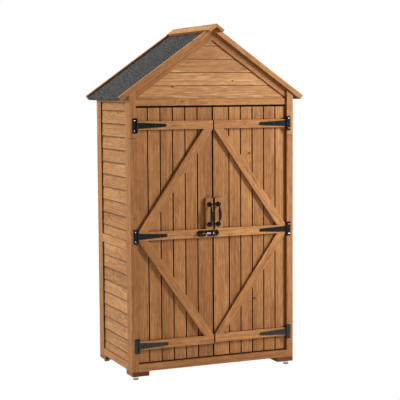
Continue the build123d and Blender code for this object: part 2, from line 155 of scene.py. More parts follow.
def darker(colour, share):
    """A plain colour times a number."""
    return tuple(share * part for part in colour)


def attribute(tree, name, output="Fac"):
    return put(tree, "ShaderNodeAttribute", attribute_name=name).outputs[output]


def object_place(tree):
    return put(tree, "ShaderNodeTexCoord").outputs["Object"]


def part_of(tree, vector, axis):
    """One of a vector's three numbers: 0 for x, 1 for y, 2 for z."""
    return put(tree, "ShaderNodeSeparateXYZ", {0: vector}).outputs[axis]


def add_bump(tree, shader, height, strength, distance=1.0):
    inputs = {"Strength": strength, "Distance": distance, "Height": height}
    bump = put(tree, "ShaderNodeBump", inputs)
    tree.links.new(bump.outputs[0], shader.inputs["Normal"])


print("helpers: put, calc, stretch, noise, remap, blend, darker, attribute, add_bump")

# %% [markdown]
# ## The sky
# The photograph has a plain white ground. The sky is white where the camera looks straight at it,
# and dim where it only lights the shed, so the background costs the wood no contrast. The Light
# Path node tells the two kinds of ray apart. The dim part is warm, like light thrown back by wood.

# %% sky
ambient = 0.10
world = bpy.data.worlds.new("studio")
bpy.context.scene.world = world
world.use_nodes = True
sky = world.node_tree
rays = put(sky, "ShaderNodeLightPath").outputs
sky_level = remap(sky, rays["Is Camera Ray"], 0.0, 1.0, ambient, 1.0, smooth=False)
sky_colour = blend(sky, rays["Is Diffuse Ray"], (1, 1, 1), (1.0, 0.88, 0.70))
backdrop = sky.nodes["Background"]
sky.links.new(sky_colour, backdrop.inputs["Color"])
sky.links.new(sky_level, backdrop.inputs["Strength"])
print("sky: strength 1 for the camera and", ambient, "for the shed")

# %% [markdown]
# ## The floor
# The floor is pale paper that throws light back up at the feet. The camera and mirror-like metal
# see it as plain white, by the same trick as for the sky: a mix of two shaders, led by the kind
# of ray.

# %% floor
floor_material, tree, shader = new_material("floor_white")
paper = noise(tree, object_place(tree), scale=40, detail=4)
paper_colour = blend(tree, paper, (0.86, 0.86, 0.86), (0.9, 0.9, 0.9))
tree.links.new(paper_colour, shader.inputs["Base Color"])
shader.inputs["Roughness"].default_value = 0.9
rays = put(tree, "ShaderNodeLightPath").outputs
seen = calc(tree, "MAXIMUM", rays["Is Camera Ray"], rays["Is Glossy Ray"])
white = put(tree, "ShaderNodeEmission", {"Color": (1, 1, 1, 1), "Strength": 1.0})
ground = put(tree, "ShaderNodeMixShader", {0: seen, 1: shader.outputs[0], 2: white.outputs[0]})
tree.links.new(ground.outputs[0], tree.nodes["Material Output"].inputs["Surface"])

bpy.ops.mesh.primitive_plane_add(size=40)
floor = bpy.context.object
floor.name = "floor"
floor.data.materials.append(floor_material)
print("floor:", floor.dimensions.x, "m wide")

# %% [markdown]
# ## The lamps
# Three soft boxes light the shed. The key lamp is tall and narrow and stands close by on the right:
# that is why the right post is brighter than the left one, and why each rail and brace throws a
# short shadow to its left and below. The fill on the left, at the height of the eaves, grazes the
# side wall and draws the laps of its boards. The one overhead lights the roof.


# %% lamps
def lamp(name, place, target, width, height, watts):
    """A soft box at place that shines on target. Its power falls off with distance."""
    light = bpy.data.lights.new(name, "AREA")
    light.energy = watts
    light.shape = "RECTANGLE"
    light.size = width
    light.size_y = height
    holder = bpy.data.objects.new(name, light)
    bpy.context.scene.collection.objects.link(holder)
    holder.location = place
    holder.rotation_mode = "QUATERNION"
    holder.rotation_quaternion = (Vector(target) - Vector(place)).to_track_quat("-Z", "Y")
    print("lamp", name, "of", watts, "W")


lamp("key", (1.95, -1.7, 1.95), (0, -0.2, 0.9), 0.32, 1.5, 78)
lamp("left_fill", (-2.6, 1.0, 1.65), (-0.4, 0, 0.7), 1.3, 1.3, 43)
lamp("overhead", (-0.4, 1.3, 4.0), (0, 0, 1.2), 2.2, 2.2, 60)

# %% [markdown]
# ## Fir, step one: knots
# The wood is built up in steps. Each board carries its own grain coordinates in metres: along,
# across and through it. Knots are where branches started, small dark ovals that the growth rings
# swing round. A pattern of cells, seen in the board's own plane, gives them: each cell may hold one
# knot at its middle, and the cell's random colour decides whether it does and how big the knot is.


# %% knots
def knots(tree, grain, share, per_metre):
    """How much of a knot each point is, from 0 to 1, and how far a ring swings round it there."""
    plane = stretch(tree, grain, (0.8, 1, 0))
    inputs = {"Vector": plane, "Scale": per_metre}
    cells = put(tree, "ShaderNodeTexVoronoi", inputs, voronoi_dimensions="2D").outputs
    chance = put(tree, "ShaderNodeSeparateColor", {0: cells["Color"]}).outputs[0]
    size = remap(tree, chance, 1 - share, 1.0, 0.0004, 0.0084, smooth=False)
    distance = calc(tree, "DIVIDE", cells["Distance"], per_metre)
    wobble = noise(tree, grain, scale=160, detail=2)
    reach = calc(tree, "MULTIPLY_ADD", wobble, 0.0024, distance)
    knot = calc(tree, "SUBTRACT", 1.0, calc(tree, "DIVIDE", reach, size), clamp=True)
    swing = calc(tree, "MULTIPLY", remap(tree, distance, 0.0, 0.04, 0.6, 0.0), size)
    return knot, swing


# %% [markdown]
# ## Fir, step two: growth rings
# Fir is cut into boards, so its figure is a slice through growth rings: pale early wood that ends
# in a thin dark line of late wood. Every board has a heart that lies somewhere outside it. The
# distance from that heart, bent a little by slow noise and by the knots, gives the rings. So each
# board shows its own slice, with straight lines near its edge and wide flames in its middle.


# %% rings
ring_spacing = 0.0034


def rings(tree, grain, swing):
    """The late wood: near 1 in the dark end of each ring, 0 in the pale rest of it."""
    across = stretch(tree, grain, (0, 1, 1))
    heart = put(tree, "ShaderNodeVectorMath", {0: across}, operation="LENGTH")
    drift = noise(tree, stretch(tree, grain, (1.1, 9, 9)), detail=3)
    radius = calc(tree, "MULTIPLY_ADD", drift, 0.022, heart.outputs["Value"])
    radius = calc(tree, "ADD", radius, swing)
    turn = calc(tree, "FRACT", calc(tree, "DIVIDE", radius, ring_spacing))
    return calc(tree, "MULTIPLY", remap(tree, turn, 0.25, 0.86), remap(tree, turn, 1.0, 0.93))


print("growth rings every", 1000 * ring_spacing, "mm")

# %% [markdown]
# ## Fir, step three: how the stain takes, and painted light
# Stain doesn't take evenly. It varies slowly along a board, in small smudges and in a fine mottle,
# and each board took more or less of it as a whole, which its tone says. The tone also carries
# painted light and shade: some faces of a piece are painted paler or darker for how light falls
# on them. Deeper stain is also redder and more saturated: green and blue fall faster than red.
# Raising the shade to a higher power for them does that with one number.


# %% stain
def stain_and_painted_light(tree, grain, tone):
    """The colour that the wood's own colour is multiplied by: stain, and painted light from the
    tone.
    """
    broad = noise(tree, stretch(tree, grain, (1.3, 11, 11)), detail=2)
    mottle = noise(tree, stretch(tree, grain, (24, 85, 85)), detail=2)
    smudge = noise(tree, stretch(tree, grain, (12, 26, 26)), detail=3)
    shade = remap(tree, broad, 0.3, 0.7, 0.86, 1.1)
    shade = calc(tree, "MULTIPLY", shade, remap(tree, smudge, 0.56, 0.76, 1.0, 0.8))
    shade = calc(tree, "MULTIPLY", shade, remap(tree, mottle, 0.3, 0.7, 0.9, 1.1))
    shade = calc(tree, "MULTIPLY", shade, tone)
    green = calc(tree, "POWER", shade, 1.3)
    blue = calc(tree, "POWER", shade, 1.45)
    return put(tree, "ShaderNodeCombineColor", {0: shade, 1: green, 2: blue}).outputs[0]


def torn_fibres(tree, grain, colour, strength):
    """Pale flecks, in patches, where the planer tore the fibres and the stain couldn't hold."""
    torn = noise(tree, stretch(tree, grain, (11, 210, 210)), detail=1)
    patches = noise(tree, stretch(tree, grain, (2.2, 9, 9)), detail=0)
    torn = remap(tree, torn, 0.57, 0.67)
    torn = calc(tree, "MULTIPLY", torn, remap(tree, patches, 0.56, 0.68))
    return blend(tree, calc(tree, "MULTIPLY", torn, strength), colour, (0.86, 0.55, 0.27))


# %% [markdown]
# ## Fir, step four: marks
# Some marks come from the shape. End grain drinks stain and goes dark. Eased edges are painted a
# little paler: a painted highlight on the rounded arris, and stain rubbed thin there. Inner corners
# are painted darker, a painted shade with some stain: a node there asks how open the air round a
# point is. Last, each face can carry a number called sunk. Up to 1 it is a face in a
# groove or under a lap, painted darker with painted shade and stain, and between 1 and 2 it goes on
# to the black of a deep gap, a painted shade.


# %% marks of knots, edges and gathered stain
def marks(tree, colour, knot, early, late):
    end = attribute(tree, "end")
    edge = attribute(tree, "edge")
    colour = blend(tree, remap(tree, knot, 0.0, 0.35), colour, darker(late, 0.30))
    colour = blend(tree, remap(tree, knot, 0.45, 0.9), colour, darker(late, 0.62))
    colour = blend(tree, calc(tree, "MULTIPLY", end, 0.5), colour, darker(late, 0.7))
    # Eased edges are painted paler: a painted highlight on the rounded arris, and stain rubbed thin
    # there.
    return blend(tree, calc(tree, "MULTIPLY", edge, 0.3), colour, darker(early, 1.08))


def painted_shade_and_stain(tree, colour, late):
    # Painted shade with some stain in inner corners: darker where little open air surrounds a
    # point.
    corner_reach = {"Distance": 0.013}
    open_air = put(tree, "ShaderNodeAmbientOcclusion", corner_reach, samples=6).outputs["AO"]
    sunk = attribute(tree, "sunk")
    colour = blend(tree, remap(tree, open_air, 0.72, 0.3, 0.0, 0.75), colour, darker(late, 0.2))
    # Painted shade and stain in grooves and under laps.
    in_groove = calc(tree, "MULTIPLY", sunk, 0.85, clamp=True)
    colour = blend(tree, in_groove, colour, darker(late, 0.16))
    # Painted shade: faces in a deep gap go on to black.
    return blend(tree, remap(tree, sunk, 1.0, 2.0, smooth=False), colour, darker(late, 0.02))


# %% [markdown]
# ## Fir, step five: the whole material
# Now the steps come together. Late wood, streaks and very fine fibres add up to a depth that runs
# from the early colour to the late one, and the stain and the marks go over it. The same patterns
# raise the surface by hundredths of a millimetre, so that light catches the grain.


# %% fir
def fir(name, early, late, knot_share=0.5, knots_per_metre=5.0, flecks=0.0):
    """Stained fir. Early and late are the colours of its two kinds of wood."""
    material, tree, shader = new_material(name)
    grain = attribute(tree, "grain", "Vector")
    knot, swing = knots(tree, grain, knot_share, knots_per_metre)
    late_wood = rings(tree, grain, swing)
    fibre = noise(tree, stretch(tree, grain, (9, 480, 480)), detail=2)
    streak = noise(tree, stretch(tree, grain, (1.6, 70, 70)), detail=3)

    depth = calc(tree, "MULTIPLY_ADD", late_wood, 0.5, calc(tree, "MULTIPLY", streak, 0.62))
    depth = calc(tree, "SUBTRACT", depth, 0.27)
    depth = calc(tree, "MULTIPLY_ADD", fibre, 0.44, depth, clamp=True)
    colour = blend(tree, depth, early, late)
    level = stain_and_painted_light(tree, grain, attribute(tree, "tone"))
    colour = blend(tree, 1.0, colour, level, "MULTIPLY")
    if flecks:
        colour = torn_fibres(tree, grain, colour, flecks)
    colour = marks(tree, colour, knot, early, late)
    colour = painted_shade_and_stain(tree, colour, late)
    tree.links.new(colour, shader.inputs["Base Color"])

    rough = calc(tree, "MULTIPLY_ADD", fibre, 0.22, 0.495)
    rough = calc(tree, "MULTIPLY_ADD", attribute(tree, "end"), 0.2, rough, clamp=True)
    tree.links.new(rough, shader.inputs["Roughness"])
    shader.inputs["Specular IOR Level"].default_value = 0.25

    relief = calc(tree, "MULTIPLY", late_wood, 0.00005)
    for pattern, height in ((fibre, 0.00006), (streak, 0.0003), (knot, 0.0004)):
        relief = calc(tree, "MULTIPLY_ADD", pattern, height, relief)
    add_bump(tree, shader, relief, strength=0.6)
    return material


# %% [markdown]
# ## Five kinds of fir
# The frame is the reference. The walls and the gable are a little paler and have more knots, the
# doors are a little deeper, and the inside, which gets less light and less handling, is duller. The
# gable alone has torn fibres, which the photograph shows as pale flecks.

# %% the five firs
fir_frame = fir("fir_frame", (0.60, 0.292, 0.108), (0.40, 0.158, 0.045))
pale_early, pale_late = (0.62, 0.315, 0.124), (0.42, 0.178, 0.055)
fir_wall = fir("fir_wall", pale_early, pale_late, knot_share=0.7, knots_per_metre=8.0)
fir_gable = fir("fir_gable", pale_early, pale_late, knot_share=0.4, flecks=0.45)
fir_door = fir("fir_door", (0.54, 0.254, 0.092), (0.36, 0.142, 0.041), knot_share=0.35)
fir_inside = fir("fir_inside", (0.52, 0.27, 0.11), (0.36, 0.16, 0.055))
firs = (fir_frame, fir_wall, fir_gable, fir_door, fir_inside)
print("fir materials:", [material.name for material in firs])

# %% [markdown]
# ## From a piece to its boards
# One CAD node can hold many boards, and each of them has to get a grain of its own. They are told
# apart by walking from corner to corner along the edges: what can't be reached is another board.


# %% separate the boards
def separate(node):
    """The separate solids of a CAD node, each as points and faces."""
    source = bmesh.new()
    source.from_mesh(nodes[node].data)
    bmesh.ops.remove_doubles(source, verts=source.verts, dist=1e-6)
    bmesh.ops.dissolve_limit(source, angle_limit=0.01, verts=source.verts, edges=source.edges)
    source.verts.index_update()
    found = []
    seen = set()
    for start in source.verts:
        if start.index in seen:
            continue
        seen.add(start.index)
        group = [start]
        for vert in group:
            for edge in vert.link_edges:
                other = edge.other_vert(vert)
                if other.index not in seen:
                    seen.add(other.index)
                    group.append(other)
        order = {vert.index: place for place, vert in enumerate(group)}
        own_faces = [face for face in source.faces if face.verts[0].index in order]
        faces = [[order[vert.index] for vert in face.verts] for face in own_faces]
        found.append(([vert.co.copy() for vert in group], faces))
    source.free()
    return found


print("side boards on the left:", len(separate("left_side_boards")))

# %% [markdown]
# ## Eased edges
# A board from the saw has crisp edges for an hour, and then handling, sanding and stain round
# them. Every board gets its edges eased by about a millimetre, and the new faces keep a mark. The
# board's long axis is that of its longest edge, and the normal of its widest face says which way
# is through.


# %% ease the edges and find the axes
def eased(points, faces, width, segments=2, sharp=0.35):
    """A solid with its sharp edges rounded, as a bmesh. The new faces carry the edge mark."""
    solid = bmesh.new()
    verts = [solid.verts.new(point) for point in points]
    for face in faces:
        solid.faces.new([verts[i] for i in face])
    solid.normal_update()
    mark = solid.faces.layers.int.new("eased")
    edges = [e for e in solid.edges if e.is_manifold and e.calc_face_angle(0) > sharp]
    if edges:
        rounding = {"offset": width, "segments": segments, "profile": 0.5, "clamp_overlap": True}
        made = bmesh.ops.bevel(solid, geom=edges, affect="EDGES", **rounding)
        for face in made["faces"]:
            face[mark] = 1
    solid.normal_update()
    return solid


def axes_of(solid, along=None):
    """Along, across and through: the longest edge, and the normal of the widest face."""
    if along is None:
        longest = max(solid.edges, key=lambda e: round(e.calc_length(), 6))
        along = longest.verts[1].co - longest.verts[0].co
    along = Vector(along).normalized()
    if max(along, key=abs) < 0:
        along = -along
    flat = [f for f in solid.faces if abs(f.normal.dot(along)) < 0.3]
    through = max(flat, key=lambda f: round(f.calc_area(), 9)).normal.copy()
    through = (through - along * through.dot(along)).normalized()
    return along, through.cross(along), through


sample = eased(*separate("front_header")[0], width=0.001)
print("the header runs along", [round(a, 2) for a in axes_of(sample)[0]])
sample.free()

# %% [markdown]
# ## Painted shade and stain: grooves
# On the real shed the grooves between the boards are nearly black, darker than the lamps' shadow
# makes them here. So they are painted dark: a painted shade, and stain that ran into them. For each
# board with a tongue, a groove or a lap, the faces that lie behind its open face are found and
# given a share of sunk.

# %% grooves
shed_middle = Vector((0, 0, 0.7))
grooved = (
    "left_side_boards", "right_side_boards", "back_boards", "front_gable_boards",
    "back_gable_boards", "left_door_boards", "right_door_boards",
)
groove_depth = 0.0018
gable_share = 0.75


def sunk_share(solid, along, outward):
    """How much painted shade and stain each face in a groove or under a lap gets: 0 for the open
    face, 1 inside.
    """
    mark = solid.faces.layers.int["eased"]
    front = max(v.co.dot(outward) for v in solid.verts)
    back = min(v.co.dot(outward) for v in solid.verts)
    facing = [f for f in solid.faces if f.normal.dot(outward) > 0.9]
    widest = max(facing, key=lambda f: f.calc_area())
    share = {}
    for face in solid.faces:
        deep = front - face.calc_center_median().dot(outward) > groove_depth
        open_side = face.normal.dot(outward) > -0.3 and abs(face.normal.dot(along)) < 0.7
        reaches_back = min(v.co.dot(outward) for v in face.verts) < back + 0.002
        if deep and open_side and face != widest:
            share[face] = 0.85 if reaches_back else 1.0
        else:
            share[face] = 0.0
    rims = [
        f for f in share
        if f[mark] and not share[f] and any(share[n] for e in f.edges for n in e.link_faces)
    ]
    for face in rims:
        share[face] = 0.5
    lap_shadow_strip = solid.faces.layers.int.get("lap_shadow_strip")
    if lap_shadow_strip:
        for face in solid.faces:
            share[face] = max(share[face], 0.55 * face[lap_shadow_strip])
    return share


print("pieces with grooves or laps:", len(grooved))

# %% [markdown]
# ## Painted shade and stain: laps
# Each board of the walls laps over the one below it. The lower board is painted darker just under
# the upper one's foot, a painted shadow of the lap and stain that pooled there, so the lap shows as
# a soft brown line and not as a hair. The board is cut a few millimetres below its visible head,
# and the strip between gets a mark of its own.

# %% laps
lapped = ("left_side_boards", "right_side_boards", "back_boards")
lap_shadow_reach = 0.005


def band_under_lap(solid):
    """Cuts a lapped board a little below its visible head and marks the strip between for painted
    shadow.
    """
    upright_faces = [f for f in solid.faces if abs(f.normal.z) < 0.3]
    outer_faces = [
        f for f in upright_faces if f.normal.dot(f.calc_center_median() - shed_middle) > 0
    ]
    open_face = max(outer_faces, key=lambda f: f.calc_area())
    head = max(v.co.z for v in open_face.verts)
    geometry = list(solid.verts) + list(solid.edges) + list(solid.faces)
    cut = Vector((0, 0, head - lap_shadow_reach))
    bmesh.ops.bisect_plane(solid, geom=geometry, plane_co=cut, plane_no=(0, 0, 1), dist=1e-5)
    lap_shadow_strip = solid.faces.layers.int.new("lap_shadow_strip")
    solid.normal_update()
    for face in solid.faces:
        in_strip = head - lap_shadow_reach < face.calc_center_median().z < head + 0.001
        face[lap_shadow_strip] = 1 if in_strip and abs(face.normal.z) < 0.9 else 0


# The strip under each lap gets painted shadow and stain.
print("stain pools", 1000 * lap_shadow_reach, "mm deep under each lap")

# %% [markdown]
# ## Painted shade: gaps
# The gaps above, below and between the doors read as black lines. The faces that look into them are
# painted dark, a painted shade, and are listed here with the way they look and how dark they are
# painted. Of the corner posts only the rims count, because the rest of those faces shows inside the
# open shed. The posts are spliced high up, and end grain at the splice draws a thin line there too.

# %% gaps
by_a_gap = {
    "front_header": ((0, 0, -1), 2.0),
    "front_sill": ((0, 0, 1), 0.15),
    "floor_boards": ((0, -1, 0), 0.8),
    "left_side_stiles": ((0, -1, 0), 0.85),
    "right_side_stiles": ((0, -1, 0), 0.85),
    "front_posts": ((0, 1, 0), 0.9),
    "back_posts": ((0, -1, 0), 0.9),
}
spliced = ("front_posts", "back_posts")


def gap_share(solid, outward, depth, rims_only):
    """Paints shade on the face that looks into a dark gap, and less on the eased rims beside it."""
    facing = [f for f in solid.faces if f.normal.dot(outward) > 0.9]
    rims = [f for f in solid.faces if 0.3 < f.normal.dot(outward) <= 0.9]
    share = {} if rims_only else {face: depth for face in facing}
    share.update({face: depth if rims_only else 0.6 * depth for face in rims})
    return share


def door_gap_share(solid):
    """Paints shade on the edges of a door board that look into the gap round the doors."""
    mark = solid.faces.layers.int["eased"]
    share = {}
    for face in solid.faces:
        centre = face.calc_center_median()
        by_the_meeting = abs(centre.x) < 0.012
        meets = by_the_meeting and face.normal.x * centre.x < -0.3 * abs(centre.x)
        if meets or abs(face.normal.z) > 0.3:
            front_rim = face[mark] and face.normal.y < -0.2
            share[face] = 2.0 if front_rim else 0.7
    return share


def shade_and_stain_in(solid, node, along, through, middle):
    """How much painted shade and stain each face of a board gets. A face that isn't named has none.
    """
    share = {}
    if node in grooved:
        outward = through * math.copysign(1, through.dot(middle - shed_middle))
        share = sunk_share(solid, along, outward)
    if node.endswith("gable_boards"):
        share = {face: gable_share * depth for face, depth in share.items()}
    if node.endswith("door_boards"):
        share.update(door_gap_share(solid))
    if node in by_a_gap:
        outward, depth = by_a_gap[node]
        share = gap_share(solid, Vector(outward), depth, rims_only=node in spliced)
    if node in spliced:
        share.update({face: 0.9 for face in solid.faces if abs(face.normal.z) > 0.3})
    return share


print("pieces beside a gap:", len(by_a_gap))

# %% [markdown]
# ## How much stain each piece took, and painted light and shade
# Pieces were stained before they were put together, so neighbours differ. The four numbers are the
# tones of a piece's front on the left and on the right, and of its other faces on the left and on
# the right. Beside the stain they hold painted light and shade: faces that lie in shade are painted
# darker, like the fronts of the foot blocks, and faces that catch light are painted paler, like the
# left sides of the left door's braces. The tops of the cap and of the barge boards have a painted
# highlight of their own.

# %% tones
tones_with_painted_light = {
    "front_posts": (0.74, 0.86, 0.9, 1.15),
    "front_barge_boards": (0.84, 0.98, 1.0, 0.75),
    "front_gable_rafters": (0.78, 0.74, 0.8, 0.8),
    "front_gable_boards": (0.9, 0.95, 1.0, 1.0),
    "front_header": (1.1, 1.1, 1.0, 1.0),
    "front_sill": (0.88, 0.96, 0.8, 0.8),
    "left_side_stiles": (1.0, 1.0, 1.06, 1.0),
    "left_side_rails": (1.0, 1.0, 1.12, 1.0),
    "left_side_boards": (1.0, 1.0, 1.05, 1.0),
    "left_door_rails": (1.04, 1.0, 0.88, 1.0),
    "right_door_rails": (1.0, 0.97, 1.0, 0.88),
    "left_door_braces": (0.92, 1.0, 1.55, 1.0),
    "left_handle_block": (0.88, 1.0, 0.9, 1.0),
    "right_handle_block": (1.0, 0.88, 1.0, 0.5),
    "left_door_boards": (0.97, 1.0, 1.0, 1.0),
    "right_door_boards": (1.0, 0.97, 1.0, 1.0),
    "foot_blocks": (0.28, 0.37, 1.0, 0.8),
    "floor_boards": (1.0, 0.4, 1.2, 0.4),
    "back_boards": (0.7, 0.7, 0.9, 0.9),
    "back_barge_boards": (1.5, 1.5, 1.0, 1.0),
    "ridge_cap": (1.5, 1.5, 0.66, 0.9),
}
# Painted highlights on the tops of the cap and of the barge boards.
painted_top_highlights = {"ridge_cap": 1.2, "front_barge_boards": 1.3}


def tone_with_painted_light(node, face, on_the_left):
    # A painted highlight on the tops, then painted light and shade by side and by face, with the
    # stain.
    if node in painted_top_highlights and face.normal.z > 0.6:
        return painted_top_highlights[node]
    tones = tones_with_painted_light.get(node, (1.0, 1.0, 1.0, 1.0))
    front_left, front_right, rest_left, rest_right = tones
    if face.normal.y < -0.8:
        return front_left if on_the_left else front_right
    return rest_left if on_the_left else rest_right


print("pieces with a tone of their own:", len(tones_with_painted_light))

# %% [markdown]
# ## One object from many boards
# The boards of a piece go back into one mesh, since the frame wants one stand-in for each node.
# Each board gets its grain coordinates, from a start and a heart that are drawn at random with
# the piece's name as the seed, and a tone that differs a little from its neighbours'. They are
# kept as attributes of the mesh, which is how a material can read them. A weighted normal keeps
# the flat faces flat beside their rounded edges.

# %% collect the boards
along_of = {"left_roof_panel": (0, 1, 0), "right_roof_panel": (0, 1, 0)}
start_spans = ((0, 30), (-0.03, 0.03), (0.03, 0.11))


def collect(name, solids, material, node=""):
    """One mesh object from several bmeshes, with the marks that the materials read."""
    chance = random.Random(name)
    points, faces, grains = [], [], []
    marks_of = {"tone": [], "end": [], "edge": [], "sunk": []}
    for solid in solids:
        along, across, through = axes_of(solid, along_of.get(node))
        middle = sum((v.co for v in solid.verts), Vector()) / len(solid.verts)
        start = Vector([chance.uniform(*span) for span in start_spans])
        tone = min(1.16, max(0.84, chance.gauss(1.0, 0.055)))
        share = shade_and_stain_in(solid, node, along, through, middle)
        mark = solid.faces.layers.int["eased"]
        first = len(points)
        solid.verts.index_update()
        for vert in solid.verts:
            points.append(vert.co.copy())
            away = vert.co - middle
            grains.append(start + Vector((away.dot(along), away.dot(across), away.dot(through))))
        for face in solid.faces:
            faces.append([first + vert.index for vert in face.verts])
            marks_of["tone"].append(tone * tone_with_painted_light(node, face, middle.x < 0))
            marks_of["end"].append(1.0 if abs(face.normal.dot(along)) > 0.7 else 0.0)
            marks_of["edge"].append(float(face[mark]))
            marks_of["sunk"].append(share.get(face, 0.0))
        solid.free()
    return marked_object(name, points, faces, grains, marks_of, material)


def marked_object(name, points, faces, grains, marks_of, material):
    mesh = bpy.data.meshes.new(name)
    mesh.from_pydata(points, [], faces)
    grain = mesh.attributes.new("grain", "FLOAT_VECTOR", "POINT")
    grain.data.foreach_set("vector", [part for place in grains for part in place])
    for label, values in marks_of.items():
        mesh.attributes.new(label, "FLOAT", "FACE").data.foreach_set("value", values)
    mesh.materials.append(material)
    for polygon in mesh.polygons:
        polygon.use_smooth = True
    mesh.update()
    made = bpy.data.objects.new(name, mesh)
    bpy.context.scene.collection.objects.link(made)
    weighted = made.modifiers.new("flat_faces", "WEIGHTED_NORMAL")
    weighted.keep_sharp = True
    weighted.weight = 100
    return made


print("grain turned by hand on:", ", ".join(along_of))

# %% [markdown]
# ## Dressing the wood
# To dress a node is to let the eased and marked boards stand in for it. The new object rides on the
# same body as the node, so that it moves with the doors, and its name says which node it replaces.


# %% dress a node
def dress(node, material, width=0.001, segments=2):
    """Stands in for a CAD node with the same solids, eased and marked."""
    solids = [eased(points, faces, width, segments) for points, faces in separate(node)]
    if node in lapped:
        for solid in solids:
            band_under_lap(solid)
    made = collect(node + "_dressed", solids, material, node)
    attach(made, rides_on[node])
    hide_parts(node)
    return made


# %% dress the wooden pieces
wood = {
    fir_frame: [
        "front_posts", "back_posts", "left_side_stiles", "right_side_stiles", "left_side_rails",
        "right_side_rails", "back_rails", "front_header", "front_sill", "front_gable_rafters",
        "back_gable_rafters", "front_barge_boards", "back_barge_boards", "ridge_cap", "foot_blocks",
        "left_door_rails", "right_door_rails", "left_door_braces", "right_door_braces",
        "left_handle_block", "right_handle_block",
    ],
    fir_wall: ["left_side_boards", "right_side_boards", "back_boards"],
    fir_gable: ["front_gable_boards", "back_gable_boards"],
    fir_door: ["left_door_boards", "right_door_boards"],
    fir_inside: ["floor_joists", "floor_boards", "left_roof_panel", "right_roof_panel"],
}
for material, names in wood.items():
    for name in names:
        dress(name, material)
print("wooden pieces dressed:", sum(len(names) for names in wood.values()))

# %% [markdown]
# ## Roofing felt
# Mineral felt is a bitumen sheet rolled in crushed slate. From a step back it is a flat dark grey
# with a fine speckle, and close by it is a bed of grains about two millimetres across. Cells of
# that size give each grain a grey and a height of its own. Drifts, where pale or dark grains lie
# thicker, give the speckle that still shows from far away.

# %% felt
grains_per_metre = 620
felt, tree, shader = new_material("mineral_felt")
place = object_place(tree)
grains = put(tree, "ShaderNodeTexVoronoi", {"Vector": place, "Scale": grains_per_metre}).outputs
grain_shade = put(tree, "ShaderNodeSeparateColor", {0: grains["Color"]}).outputs[1]
cloud = noise(tree, place, scale=22, detail=4, roughness=0.65)
drifts = remap(tree, noise(tree, place, scale=125, detail=4, roughness=0.78), 0.42, 0.58)
level = calc(tree, "MULTIPLY_ADD", grain_shade, 0.3, calc(tree, "MULTIPLY", cloud, 0.15))
level = calc(tree, "SUBTRACT", level, 0.28)
level = calc(tree, "MULTIPLY_ADD", drifts, 1.05, level, clamp=True)
slate = blend(tree, level, (0.008, 0.009, 0.013), (0.135, 0.134, 0.128))
tree.links.new(slate, shader.inputs["Base Color"])
shader.inputs["Roughness"].default_value = 0.93
shader.inputs["Specular IOR Level"].default_value = 0.25
height = calc(tree, "SUBTRACT", 1.0, grains["Distance"])
height = calc(tree, "MULTIPLY", height, 0.0004)
height = calc(tree, "MULTIPLY_ADD", cloud, 0.0012, height)
add_bump(tree, shader, height, strength=0.8)
for side in ("left", "right"):
    dress(side + "_roof_felt", felt, width=0.0008)
print("felt grains are about", round(1000 / grains_per_metre, 1), "mm")

# %% [markdown]
# ## Black iron
# The hinges, handles and bolt are pressed or cast iron under black paint. The paint is satin,
# with the slight orange-peel of a sprayed coat, and it is thin along the edges, where hands and
# tools rub it. Towards the ground the iron is painted a bluish grey, a painted reflection of the
# pale floor, so the lowest hinges are a shade greyer.

# %% black iron
iron, tree, shader = new_material("black_iron")
place = object_place(tree)
peel = noise(tree, place, scale=900, detail=2)
worn = noise(tree, place, scale=55, detail=4)
rubbed = remap(tree, worn, 0.45, 0.7, 0.1, 0.8)
rubbed = calc(tree, "MULTIPLY", attribute(tree, "edge"), rubbed)
# Painted reflection of the pale floor: the iron turns greyer towards the ground.
painted_floor_reflection = remap(tree, part_of(tree, place, 2), 0.40, 0.22)
black = blend(tree, worn, (0.003, 0.003, 0.0035), (0.008, 0.0085, 0.0095))
black = blend(tree, calc(tree, "MULTIPLY", painted_floor_reflection, 0.55), black, (0.05, 0.053, 0.058))
black = blend(tree, rubbed, black, (0.03, 0.03, 0.03))
tree.links.new(black, shader.inputs["Base Color"])
tree.links.new(calc(tree, "MULTIPLY_ADD", worn, 0.25, 0.16), shader.inputs["Roughness"])
shader.inputs["Specular IOR Level"].default_value = 0.25
add_bump(tree, shader, peel, strength=0.5, distance=0.00012)

for node in ("hinge_plates", "left_hinge_straps", "right_hinge_straps", "bolt_body", "bolt_keeper"):
    dress(node, iron, width=0.0005)
print("iron pieces dressed: 5")

# %% [markdown]
# ## Plated steel
# The bolt's rod and some of the screws are plated steel. It was drawn through a die, so its fine
# lines run along its length. The rod's rear end, behind the knob, is painted brown, a painted
# reflection of the stained wood.


# %% plated steel
def plated(name, tail=None):
    """Plated steel. Behind the place called tail, along X, it is painted brown, a painted
    reflection of the wood.
    """
    material, tree, shader = new_material(name)
    place = object_place(tree)
    drawn = noise(tree, stretch(tree, place, (60, 1500, 1500)), detail=3)
    dull = noise(tree, place, scale=120, detail=3)
    colour = blend(tree, dull, (0.62, 0.61, 0.58), (0.80, 0.79, 0.76))
    if tail is not None:
        # Painted reflection of the wood: brown behind the tail.
        painted_wood_reflection = remap(tree, part_of(tree, place, 0), tail + 0.001, tail)
        colour = blend(tree, painted_wood_reflection, colour, (0.30, 0.17, 0.09))
    tree.links.new(colour, shader.inputs["Base Color"])
    shader.inputs["Metallic"].default_value = 1.0
    tree.links.new(calc(tree, "MULTIPLY_ADD", drawn, 0.25, 0.18), shader.inputs["Roughness"])
    add_bump(tree, shader, drawn, strength=0.3, distance=0.00005)
    return material


steel = plated("bright_steel")
rod_steel = plated("rod_steel", tail=-0.0495)
dress("bolt_rod", rod_steel, width=0.0004)

# %% [markdown]
# ## The bolt's collar
# The bolt's knob is screwed into the rod through a black collar. The collar is a short tube: a
# profile of six points, turned round the rod's axis. It stays clear of the front guide when the
# bolt is thrown.

